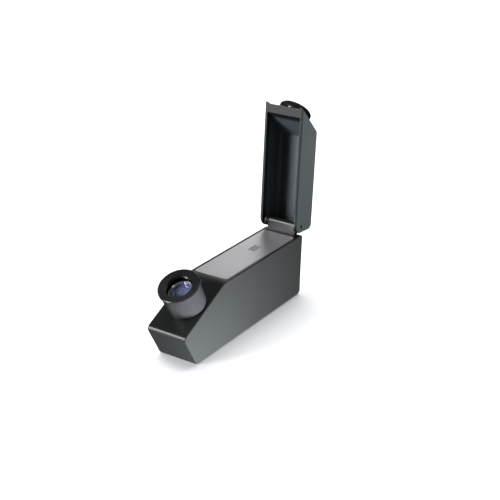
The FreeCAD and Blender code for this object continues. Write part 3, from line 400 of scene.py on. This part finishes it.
def piece(name, mesh, body, slot, finish, *replaced):
    """A finished piece: its finish, its body and the packed nodes it stands for."""
    mesh.name = name
    item = bpy.data.objects.new(name, mesh)
    bpy.context.scene.collection.objects.link(item)
    mesh.materials.clear()
    mesh.materials.append(finish)
    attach(item, body)
    if replaced:
        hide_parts(*replaced)
    return item


def smooth_by_angle(mesh, degrees=35):
    """Soft shading everywhere but over edges sharper than the angle."""
    work = bmesh.new()
    work.from_mesh(mesh)
    limit = math.radians(degrees)
    for face in work.faces:
        face.smooth = True
    for edge in work.edges:
        edge.smooth = len(edge.link_faces) == 2 and edge.calc_face_angle(0.0) < limit
    work.to_mesh(mesh)
    work.free()


# ---------------------------------------------------------------- sizes and colours

class PaintLook(bpy.types.PropertyGroup):
    """The housing's and the lid's paint."""
    housing_colour: FloatVectorProperty(
        name="Housing colour", description="Colour of the housing's paint",
        subtype="COLOR", default=(0.011, 0.012, 0.012), min=0.0, max=1.0,
    )
    lid_colour: FloatVectorProperty(
        name="Lid colour", description="Colour of the lid's paint",
        subtype="COLOR", default=(0.012, 0.0145, 0.015), min=0.0, max=1.0,
    )
    # The lid's inside colour is painted light: a lighter tone in place of the light that falls on its roof and
    # walls.
    lid_inside_painted_light: FloatVectorProperty(
        name="Lid inside painted light", description="Lighter colour painted inside the lid as painted light on its roof and walls",
        subtype="COLOR", default=(0.085, 0.102, 0.115), min=0.0, max=1.0,
    )
    roughness: FloatProperty(
        name="Roughness", description="0 is a mirror gloss and 1 is dead matt",
        subtype="FACTOR", default=0.38, min=0.05, max=1.0,
    )
    gloss_level: FloatProperty(
        name="Gloss level", description="How strongly the paint reflects",
        subtype="FACTOR", default=0.50, min=0.0, max=1.0,
    )
    grain_size: FloatProperty(
        name="Grain size", description="Width of a grain of the powder coat",
        subtype="DISTANCE", unit="LENGTH", default=0.32 * MM, precision=5,
    )
    grain_depth: FloatProperty(
        name="Grain depth", description="Height of a grain of the powder coat",
        subtype="DISTANCE", unit="LENGTH", default=0.012 * MM, precision=6,
    )
    drift_size: FloatProperty(
        name="Drift size", description="Width of the slow changes of tone and gloss",
        subtype="DISTANCE", unit="LENGTH", default=24 * MM, precision=4,
    )


class StageLook(bpy.types.PropertyGroup):
    """The brushed stage plate."""
    colour: FloatVectorProperty(
        name="Metal colour", description="Colour of the stage plate",
        subtype="COLOR", default=(0.62, 0.61, 0.62), min=0.0, max=1.0,
    )
    roughness: FloatProperty(
        name="Roughness", description="Spread of the plate's reflections",
        subtype="FACTOR", default=0.42, min=0.05, max=1.0,
    )
    metal_share: FloatProperty(
        name="Metal share", description="The rest of the plate's finish scatters light evenly",
        subtype="FACTOR", default=0.7, min=0.0, max=1.0,
    )
    stroke_width: FloatProperty(
        name="Stroke width", description="Width of a brush stroke",
        subtype="DISTANCE", unit="LENGTH", default=0.10 * MM, precision=6,
    )
    stroke_length: FloatProperty(
        name="Stroke length", description="Length of a brush stroke",
        subtype="DISTANCE", unit="LENGTH", default=9 * MM, precision=5,
    )
    stroke_depth: FloatProperty(
        name="Stroke depth", description="Depth of a brush stroke",
        subtype="DISTANCE", unit="LENGTH", default=0.010 * MM, precision=7,
    )


class EyepieceLook(bpy.types.PropertyGroup):
    """The anodised eyepiece and its coated lens."""
    colour: FloatVectorProperty(
        name="Anodised colour", description="Colour of the eyepiece and the filter ring",
        subtype="COLOR", default=(0.020, 0.021, 0.023), min=0.0, max=1.0,
    )
    roughness: FloatProperty(
        name="Roughness", description="Spread of the eyepiece's reflections",
        subtype="FACTOR", default=0.30, min=0.05, max=1.0,
    )
    line_pitch: FloatProperty(
        name="Line pitch", description="Distance between the lathe's fine lines",
        subtype="DISTANCE", unit="LENGTH", default=0.16 * MM, precision=6,
    )
    line_depth: FloatProperty(
        name="Line depth", description="Depth of the lathe's fine lines",
        subtype="DISTANCE", unit="LENGTH", default=0.006 * MM, precision=7,
    )
    coating: FloatVectorProperty(
        name="Coating tint", description="Colour that the lens coating reflects",
        subtype="COLOR", default=(0.20, 0.34, 1.0), min=0.0, max=1.0,
    )


class KnurlSizes(bpy.types.PropertyGroup):
    """The grip of the filter ring."""
    ribs: IntProperty(
        name="Ribs", description="How many ribs the ring's flank has",
        default=72, min=8, max=240,
    )
    rib_height: FloatProperty(
        name="Rib height", description="From the foot of a groove to the top of a rib",
        subtype="DISTANCE", unit="LENGTH", default=0.28 * MM, precision=5,
    )
    chamfer: FloatProperty(
        name="Chamfer", description="Width of the bevel on the ring's two outer edges",
        subtype="DISTANCE", unit="LENGTH", default=0.5 * MM, precision=5,
    )


class ScrewSizes(bpy.types.PropertyGroup):
    """The small screws' heads."""
    socket_share: FloatProperty(
        name="Socket width", description="Width of the hexagon socket as a share of the head",
        subtype="FACTOR", default=0.52, min=0.2, max=0.8,
    )
    socket_depth: FloatProperty(
        name="Socket depth", description="Depth of the socket as a share of the head's thickness",
        subtype="FACTOR", default=0.7, min=0.2, max=0.95,
    )
    edge: FloatProperty(
        name="Edge", description="Width of the bevel round a head",
        subtype="DISTANCE", unit="LENGTH", default=0.15 * MM, precision=5,
    )


class StudioLook(bpy.types.PropertyGroup):
    """The floor, the lamps and the camera."""
    floor_colour: FloatVectorProperty(
        name="Floor colour", description="Colour of the floor",
        subtype="COLOR", default=(0.86, 0.87, 0.90), min=0.0, max=1.0,
    )
    floor_glow: FloatProperty(
        name="Floor glow", description="Light that the floor gives of its own",
        default=0.17, min=0.0,
    )
    floor_sun: FloatProperty(
        name="Floor light", description="Strength of the wide light that falls on the floor only",
        default=3.7, min=0.0,
    )
    key_power: FloatProperty(
        name="Key light", description="Power of the soft light on the right of the nose",
        subtype="POWER", unit="POWER", default=2.8, min=0.0,
    )
    lid_power: FloatProperty(
        name="Lid light", description="Power of the soft light that falls on the lid only",
        subtype="POWER", unit="POWER", default=5.0, min=0.0,
    )
    back_power: FloatProperty(
        name="Back panel", description="Power of the broad panel that the stage reflects",
        subtype="POWER", unit="POWER", default=0.075, min=0.0,
    )
    room_light: FloatProperty(
        name="Room light", description="Even light from all round, between the soft boxes",
        default=0.065, min=0.0,
    )
    turn: FloatProperty(
        name="Camera turn", description="Camera's place round the instrument, from its front",
        subtype="ANGLE", unit="ROTATION", default=math.radians(34.11),
    )
    rise: FloatProperty(
        name="Camera rise", description="Camera's height above the horizon",
        subtype="ANGLE", unit="ROTATION", default=math.radians(24.04),
    )
    distance: FloatProperty(
        name="Camera distance", description="From the camera to the point that it looks at",
        subtype="DISTANCE", unit="LENGTH", default=740.2 * MM, precision=4,
    )


# ---------------------------------------------------------------- operators

def make_finishes(scene):
    """The material of each of the record's slots, by the slot's name."""
    paint, stage, eyepiece = scene.paint_look, scene.stage_look, scene.eyepiece_look
    anodised = {"depth": eyepiece.line_depth, "metallic": 0.35, "pitch": eyepiece.line_pitch}
    return {
        "housing_paint": satin_paint("housing satin paint", tuple(paint.housing_colour), paint),
        # The lid's paint gets a lighter inside: painted light on its roof and walls.
        "lid_paint": satin_paint(
            "lid satin paint with painted light inside", tuple(paint.lid_colour), paint, tuple(paint.lid_inside_painted_light)),
        "stage_metal": brushed_plate("brushed stage metal", tuple(stage.colour), stage),
        "eyepiece_black": turned_metal(
            "eyepiece black anodise", tuple(eyepiece.colour), eyepiece.roughness, EYEPIECE, **anodised),
        "dull_black": dull_coat("matt black lining", (0.014, 0.014, 0.015), 0.3 * MM, 0.75, 0.01 * MM),
        "bright_metal": turned_metal("bright turned metal", (0.72, 0.70, 0.66), 0.16, EYEPIECE),
        "brass_fittings": turned_metal("lacquered brass", (0.20, 0.14, 0.055), 0.34, FILTER),
        "steel": plain_steel("screw steel", (0.42, 0.42, 0.43), 0.34),
        "clear_glass": optical_glass(
            "optical glass", (0.012, 0.013, 0.013), 1.8, 0.06, transmission_weight=0.2),
        "coated_glass": optical_glass(
            "coated lens glass", (0.50, 0.56, 0.85), 1.8, 0.08, transmission_weight=0.70,
            specular_tint=tuple(eyepiece.coating)),
        "frosted_glass": optical_glass(
            "frosted yellow glass", (0.92, 0.76, 0.34), 1.5, 0.45, transmission_weight=0.6),
        "filter_glass": optical_glass(
            "polarising filter", (0.10, 0.12, 0.10), 1.5, 0.03, transmission_weight=0.7),
        "mirror_glass": plain_steel("silvered mirror", (0.92, 0.93, 0.93), 0.03),
        "rubber_sheet": dull_coat("base rubber", (0.016, 0.016, 0.017), 0.4 * MM, 0.82, 0.03 * MM),
    }


class REFRACTOMETER_OT_finishes(bpy.types.Operator):
    """Give every packed part the finish that its slot calls for"""
    bl_idname = "refractometer.finishes"
    bl_label = "Paint and polish"

    def execute(self, context):
        finishes = make_finishes(context.scene)
        for node, item in NODES.items():
            item.data.materials.clear()
            item.data.materials.append(finishes[SLOT_OF[node]])
        return {"FINISHED"}


# The filter ring's section.
NECK_STEP = 0.6 * MM
SOFT_EDGE = 0.1 * MM
FILM_BEVEL = 0.25 * MM
FILM_SHELF = 1.2 * MM
WEB_THICK = 0.4 * MM

# The radius of the core that a lathe leaves in a screw.
CORE = 0.02 * MM


class REFRACTOMETER_OT_filter_ring(bpy.types.Operator):
    """Turn the filter's ring and cut the ribs of its grip"""
    bl_idname = "refractometer.filter_ring"
    bl_label = "Filter ring"

    def execute(self, context):
        sizes = context.scene.knurl_sizes
        foot = FILTER.level("polariser_ring", 0)
        top = FILTER.level("polariser_ring", 1)
        rim = FILTER.radius("polariser_ring")
        seat = FILTER.level("polariser_film", 0)
        film = FILTER.radius("polariser_film")
        bore = max(FILTER.radius("polariser_spigot"), film) - NECK_STEP
        core = rim - sizes.rib_height
        mesh = lathe("polariser_grip", [
            (bore, foot), (core - sizes.chamfer, foot), (core, foot + sizes.chamfer),
            (core, top - sizes.chamfer), (core - sizes.chamfer * 0.4, top - SOFT_EDGE),
            (core - sizes.chamfer, top), (film + FILM_BEVEL, top), (film, top - FILM_BEVEL),
            (film, seat), (film - FILM_SHELF, seat), (film - FILM_SHELF, seat - WEB_THICK),
            (bore, seat - WEB_THICK),
        ], Matrix.Identity(4))
        tree = Pattern("grip ribs", {
            "Ribs": sizes.ribs, "Ring radius": core, "Rib radius": sizes.rib_height,
            "Rib length": top - foot - 2.4 * sizes.chamfer, "Middle": (foot + top) / 2})
        circle = tree.node("GeometryNodeMeshCircle", {}, {
            "Vertices": tree.given("Ribs"), "Radius": tree.given("Ring radius")})
        rib = tree.node("GeometryNodeMeshCylinder", {}, {
            "Vertices": 8, "Radius": tree.given("Rib radius"), "Depth": tree.given("Rib length")})
        number = tree.node("GeometryNodeInputIndex")
        turn = tree.spot(0.0, 0.0, number / tree.given("Ribs") * (2 * math.pi))
        ribs = tree.on_points(circle, rib, Rotation=turn)
        ribs = tree.node("GeometryNodeTransform", {}, {
            "Geometry": ribs, "Translation": tree.spot(0.0, 0.0, tree.given("Middle"))})
        joined = tree.node("GeometryNodeJoinGeometry", {}, {0: tree.given("Geometry")})
        tree.tree.links.new(ribs.socket, joined.socket.node.inputs[0])
        finish = bpy.data.materials["eyepiece black anodise"]
        tree.close(joined, finish)
        mesh = tree.grown_on(mesh, FILTER.matrix())
        smooth_by_angle(mesh)
        piece("polariser_grip", mesh, "polariser", SLOT_OF["polariser_ring"], finish, "polariser_ring")
        return {"FINISHED"}


class REFRACTOMETER_OT_screws(bpy.types.Operator):
    """Make the screws that show, with hexagon sockets in their heads"""
    bl_idname = "refractometer.screws"
    bl_label = "Screws"

    def execute(self, context):
        sizes = context.scene.screw_sizes
        finish = bpy.data.materials["screw steel"]
        for node, out in (("base_screws", (0, 0, -1)), ("hinge_screws", (0, 1, 0))):
            spots = screw_spots(node, out)
            axle = Axle(spots[0], out)
            head, stem, thick, length = screw_measures(node, axle)
            inner = head * sizes.socket_share
            flat = inner * math.cos(math.pi / 6)
            bottom = -thick * sizes.socket_depth

            def hexagon(radius, level, angle):
                if radius > inner * 1.01 or level > 0 or level < -thick * 0.95:
                    return 0.0
                lean = (angle + math.pi / 6) % (math.pi / 3) - math.pi / 6
                return flat / math.cos(lean) - radius if radius > flat * 0.9 else 0.0

            mesh = lathe("screw", [
                (CORE, bottom), (inner, bottom), (inner, 0.0),
                (head - sizes.edge, 0.0), (head, -sizes.edge), (head, -thick),
                (stem, -thick), (stem, -length + sizes.edge), (stem - sizes.edge, -length),
                (CORE, -length),
            ], Matrix.Identity(4), 48, hexagon)
            shape = bpy.data.objects.new("screw shape", mesh)
            start = bpy.data.meshes.new("screw places")
            turned = axle.matrix().inverted()
            start.from_pydata([turned @ spot for spot in spots], [], [])
            tree = Pattern("screws", {"Size": 1.0})
            one = tree.node("GeometryNodeObjectInfo", {}, {"Object": shape}, "Geometry")
            screws = tree.on_points(tree.given("Geometry"), one, Scale=tree.given("Size"))
            tree.close(screws, finish)
            made = tree.grown_on(start, axle.matrix())
            bpy.data.objects.remove(shape)
            smooth_by_angle(made)
            piece(node.replace("screws", "socket_screws"), made, "housing", SLOT_OF[node], finish, node)
        return {"FINISHED"}


def screw_spots(node, out):
    """The middles of the outer faces of a node's separate screws."""
    work = bmesh.new()
    work.from_mesh(NODES[node].data)
    bmesh.ops.remove_doubles(work, verts=work.verts, dist=0.001 * MM)
    left = set(work.verts)
    spots = []
    out = Vector(out)
    while left:
        group, edge = set(), [left.pop()]
        while edge:
            vertex = edge.pop()
            group.add(vertex)
            for link in vertex.link_edges:
                other = link.other_vert(vertex)
                if other in left:
                    left.discard(other)
                    edge.append(other)
        low = Vector(min(v.co[i] for v in group) for i in range(3))
        high = Vector(max(v.co[i] for v in group) for i in range(3))
        middle = (low + high) / 2
        face = max(v.co.dot(out) for v in group)
        spots.append(middle + out * (face - middle.dot(out)))
    work.free()
    return sorted(spots, key=tuple)


def screw_measures(node, axle):
    """The head's and stem's radius, the head's thickness and the whole length."""
    near = []
    for vertex in NODES[node].data.vertices:
        away = vertex.co - axle.origin
        level = away.dot(axle.along)
        radius = (away - axle.along * level).length
        if radius < 4 * MM:
            near.append((radius, level))
    head = max(radius for radius, level in near)
    length = -min(level for radius, level in near)
    thick = -min(level for radius, level in near if radius > head - 0.01 * MM)
    stem = max(radius for radius, level in near if level < -length + 0.01 * MM)
    return head, stem, thick, length


def light_link(name, state, *items):
    """A collection of what a lamp lights alone, or of what it spares."""
    collection = bpy.data.collections.new(name)
    for item in items:
        collection.objects.link(item)
    for link in collection.collection_objects:
        link.light_linking.link_state = state
    return collection


LAMPS = {
    # the lamp's place, what it faces and its side, in metres
    "key": ((0.12, -0.08, -0.03), (0.0, -0.05, 0.02), 0.06),
    "lid light": ((0.26, 0.12, 0.13), (0.0, 0.07, 0.10), 0.10),
    "back panel": ((-0.17, 0.33, 0.20), (0.0, 0.02, 0.045), 0.16),
}
FLOOR_LIGHT_WAY = (0.36, -0.22, -0.90)
FLOOR_LEVEL = -0.05 * MM
CAMERA_AIM = (0.0, 20.34 * MM, 45.21 * MM)
LENS_LENGTH = 79.2
SKY_COLOUR = (0.97, 0.985, 1.0, 1.0)
WHITE = (1.0, 1.0, 1.0, 1.0)


def soft_light(name, power, lights_up, mirrored=False):
    """A square lamp that isn't seen itself, and shows in reflections only if mirrored."""
    place, aim, side = LAMPS[name]
    lamp = bpy.data.lights.new(name, "AREA")
    lamp.shape = "RECTANGLE"
    lamp.size = side
    lamp.size_y = side
    lamp.energy = power
    item = bpy.data.objects.new(name, lamp)
    item.location = place
    item.rotation_euler = (Vector(aim) - Vector(place)).to_track_quat("-Z", "Y").to_euler()
    item.visible_camera = False
    item.visible_glossy = mirrored
    item.light_linking.receiver_collection = lights_up
    bpy.context.scene.collection.objects.link(item)


SOFT_BOXES = (
    # toward, degrees to the end of its full light and to its edge, strength
    ((-0.51, -0.80, 0.24), 4, 15, 32.0),
    ((-0.42, 0.00, -0.91), 3, 18, 0.1),
    ((-0.51, 0.76, 0.41), 10, 40, 0.35),
    ((-0.51, -0.76, -0.41), 4, 20, 2.2),
    ((0.51, 0.76, -0.41), 8, 30, 0.12),
    ((0.10, 0.30, 0.95), 10, 40, 0.7),
    ((-0.92, 0.35, 0.10), 8, 26, 1.5),
    ((0.45, 0.88, 0.15), 8, 26, 0.4),
)


class REFRACTOMETER_OT_studio(bpy.types.Operator):
    """Lay the pale floor and set up the soft lamps and the camera"""
    bl_idname = "refractometer.studio"
    bl_label = "Studio"

    def execute(self, context):
        scene = context.scene
        look = scene.studio_look
        mesh = bpy.data.meshes.new("floor")
        work = bmesh.new()
        bmesh.ops.create_grid(work, x_segments=2, y_segments=2, size=5.0)
        bmesh.ops.translate(work, verts=work.verts, vec=(0.0, 0.0, FLOOR_LEVEL))
        work.to_mesh(mesh)
        work.free()
        floor = bpy.data.objects.new("floor", mesh)
        scene.collection.objects.link(floor)
        finish = Finish("pale floor")
        cloud = finish.noise(0.8, 2.0)
        colour = tuple(look.floor_colour)
        mesh.materials.append(finish.surface(
            base_color=finish.mix(shade(colour, 0.99), colour, cloud), roughness=0.9,
            specular_ior_level=0.0,
            emission_color=WHITE, emission_strength=look.floor_glow,
        ))
        floor.visible_diffuse = False
        floor.visible_glossy = False
        floor.visible_shadow = False

        on_floor = light_link("lights the floor", "INCLUDE", floor)
        off_floor = light_link("spares the floor", "EXCLUDE", floor)
        on_lid = light_link("lights the lid", "INCLUDE", NODES["lid_shell"])
        off_lid = light_link("spares the floor and the lid", "EXCLUDE", floor, NODES["lid_shell"])
        sun = bpy.data.lights.new("floor light", "SUN")
        sun.energy = look.floor_sun
        sun.angle = math.radians(70.0)
        item = bpy.data.objects.new("floor light", sun)
        item.rotation_euler = Vector(FLOOR_LIGHT_WAY).to_track_quat("-Z", "Y").to_euler()
        item.light_linking.receiver_collection = on_floor
        scene.collection.objects.link(item)

        soft_light("key", look.key_power, off_lid)
        soft_light("lid light", look.lid_power, on_lid)
        soft_light("back panel", look.back_power, off_floor, mirrored=True)

        world = bpy.data.worlds.new("studio")
        world.use_nodes = True
        tree = Tree(world.node_tree)
        seen = tree.node("ShaderNodeLightPath", output="Is Camera Ray")
        direction = tree.node("ShaderNodeTexCoord", output="Generated")
        glow = look.room_light
        for toward, inner, outer, strength in SOFT_BOXES:
            lean = tree.node("ShaderNodeVectorMath", {"operation": "DOT_PRODUCT"}, {
                0: direction, 1: Vector(toward).normalized()}, "Value")
            edge, core = math.cos(math.radians(outer)), math.cos(math.radians(inner))
            glow = lean.between(edge, core) * strength + glow
        sky = tree.node("ShaderNodeBackground", {}, {"Color": SKY_COLOUR, "Strength": glow})
        page = tree.node("ShaderNodeBackground", {}, {"Color": WHITE, "Strength": 1.0})
        light = tree.node("ShaderNodeMixShader", {}, {0: seen, 1: sky, 2: page})
        tree.node("ShaderNodeOutputWorld", {}, {"Surface": light})
        scene.world = world

        lens = bpy.data.cameras.new("camera")
        lens.sensor_width = 36.0
        lens.lens = LENS_LENGTH
        lens.clip_start = 0.01
        lens.clip_end = 50.0
        camera = bpy.data.objects.new("camera", lens)
        back = Vector((
            math.sin(look.turn) * math.cos(look.rise),
            -math.cos(look.turn) * math.cos(look.rise),
            math.sin(look.rise),
        ))
        camera.location = Vector(CAMERA_AIM) + back * look.distance
        camera.rotation_euler = (-back).to_track_quat("-Z", "Y").to_euler()
        scene.collection.objects.link(camera)
        scene.camera = camera
        scene.view_settings.view_transform = "Standard"
        return {"FINISHED"}


class REFRACTOMETER_PT_panel(bpy.types.Panel):
    """The instrument's pieces and their sizes"""
    bl_label = "Gem refractometer"
    bl_idname = "REFRACTOMETER_PT_panel"
    bl_space_type = "VIEW_3D"
    bl_region_type = "UI"
    bl_category = "Refractometer"

    def draw(self, context):
        layout = self.layout
        for group in GROUPS:
            box = layout.box()
            box.label(text=group.__doc__)
            for name in group.__annotations__:
                box.prop(getattr(context.scene, GROUPS[group]), name)
        for operator in OPERATORS:
            layout.operator(operator.bl_idname)


GROUPS = {
    PaintLook: "paint_look",
    StageLook: "stage_look",
    KnurlSizes: "knurl_sizes",
    ScrewSizes: "screw_sizes",
    EyepieceLook: "eyepiece_look",
    StudioLook: "studio_look",
}
OPERATORS = (
    REFRACTOMETER_OT_studio,
    REFRACTOMETER_OT_finishes,
    REFRACTOMETER_OT_filter_ring,
    REFRACTOMETER_OT_screws,
)


def register():
    for group, name in GROUPS.items():
        bpy.utils.register_class(group)
        setattr(bpy.types.Scene, name, PointerProperty(type=group))
    for operator in OPERATORS:
        bpy.utils.register_class(operator)
    bpy.utils.register_class(REFRACTOMETER_PT_panel)


def unregister():
    bpy.utils.unregister_class(REFRACTOMETER_PT_panel)
    for operator in reversed(OPERATORS):
        bpy.utils.unregister_class(operator)
    for group, name in GROUPS.items():
        delattr(bpy.types.Scene, name)
        bpy.utils.unregister_class(group)


def main():
    register()
    for operator in OPERATORS:
        family, name = operator.bl_idname.split(".")
        getattr(getattr(bpy.ops, family), name)()


if __name__ == "__main__":
    main()
